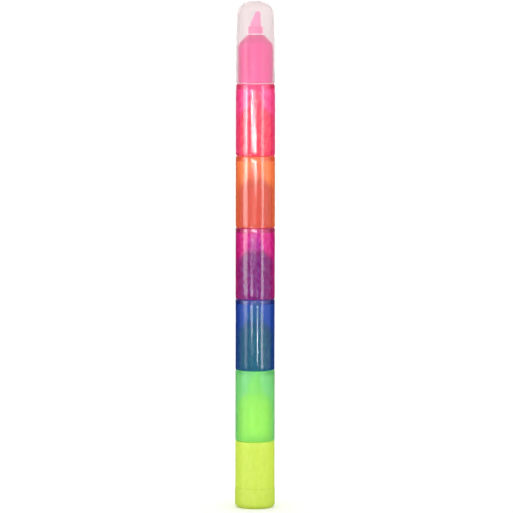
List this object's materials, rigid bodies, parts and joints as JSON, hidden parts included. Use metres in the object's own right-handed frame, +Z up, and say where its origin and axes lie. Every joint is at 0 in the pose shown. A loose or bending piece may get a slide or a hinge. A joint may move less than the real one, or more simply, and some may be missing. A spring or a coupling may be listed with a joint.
{
  "type": "stackable highlighter",
  "caption": "Slim round highlighter stacked from short translucent coloured marker modules that pull apart, with a frosted domed cap and a rounded tail cap.",
  "frame": {"origin": "centre of the tail cap's flat base", "axes": "+Z up the pen's axis to the crown of the cap, +X towards the long side of the slanted nibs"},
  "size_m": [0.0122, 0.0122, 0.1551],
  "materials": {
    "yellow_plastic": "translucent tinted moulding, polished",
    "yellow_insert": "opaque coloured moulding, satin",
    "yellow_fibre": "ink-soaked fibre",
    "green_plastic": "translucent tinted moulding, polished",
    "green_insert": "opaque coloured moulding, satin",
    "green_fibre": "ink-soaked fibre",
    "blue_plastic": "translucent tinted moulding, polished",
    "blue_insert": "opaque coloured moulding, satin",
    "blue_fibre": "ink-soaked fibre",
    "purple_plastic": "translucent tinted moulding, polished",
    "purple_insert": "opaque coloured moulding, satin",
    "purple_fibre": "ink-soaked fibre",
    "orange_plastic": "translucent tinted moulding, polished",
    "orange_insert": "opaque coloured moulding, satin",
    "orange_fibre": "ink-soaked fibre",
    "pink_plastic": "translucent tinted moulding, polished",
    "pink_insert": "opaque coloured moulding, satin",
    "pink_fibre": "ink-soaked fibre",
    "tail_plastic": "translucent yellow moulding",
    "cap_plastic": "frosted clear moulding"
  },
  "bodies": {
    "base_module": {"yellow_body": "yellow_plastic", "yellow_plug": "yellow_insert", "yellow_reservoir": "yellow_fibre", "yellow_nib_holder": "yellow_insert", "yellow_nib": "yellow_fibre", "tail_cap": "tail_plastic"},
    "green_module": {"green_body": "green_plastic", "green_plug": "green_insert", "green_reservoir": "green_fibre", "green_nib_holder": "green_insert", "green_nib": "green_fibre"},
    "blue_module": {"blue_body": "blue_plastic", "blue_plug": "blue_insert", "blue_reservoir": "blue_fibre", "blue_nib_holder": "blue_insert", "blue_nib": "blue_fibre"},
    "purple_module": {"purple_body": "purple_plastic", "purple_plug": "purple_insert", "purple_reservoir": "purple_fibre", "purple_nib_holder": "purple_insert", "purple_nib": "purple_fibre"},
    "orange_module": {"orange_body": "orange_plastic", "orange_plug": "orange_insert", "orange_reservoir": "orange_fibre", "orange_nib_holder": "orange_insert", "orange_nib": "orange_fibre"},
    "pink_module": {"pink_body": "pink_plastic", "pink_plug": "pink_insert", "pink_reservoir": "pink_fibre", "pink_nib_holder": "pink_insert", "pink_nib": "pink_fibre"},
    "top_cap": {"cap": "cap_plastic"}
  },
  "joints": [
    {"name": "green_pull", "type": "slide", "parent": "base_module", "child": "green_module", "axis": [0, 0, 1], "range_m": [0, 0.024]},
    {"name": "blue_pull", "type": "slide", "parent": "green_module", "child": "blue_module", "axis": [0, 0, 1], "range_m": [0, 0.024]},
    {"name": "purple_pull", "type": "slide", "parent": "blue_module", "child": "purple_module", "axis": [0, 0, 1], "range_m": [0, 0.024]},
    {"name": "orange_pull", "type": "slide", "parent": "purple_module", "child": "orange_module", "axis": [0, 0, 1], "range_m": [0, 0.024]},
    {"name": "pink_pull", "type": "slide", "parent": "orange_module", "child": "pink_module", "axis": [0, 0, 1], "range_m": [0, 0.024]},
    {"name": "cap_pull", "type": "slide", "parent": "pink_module", "child": "top_cap", "axis": [0, 0, 1], "range_m": [0, 0.025]}
  ]
}
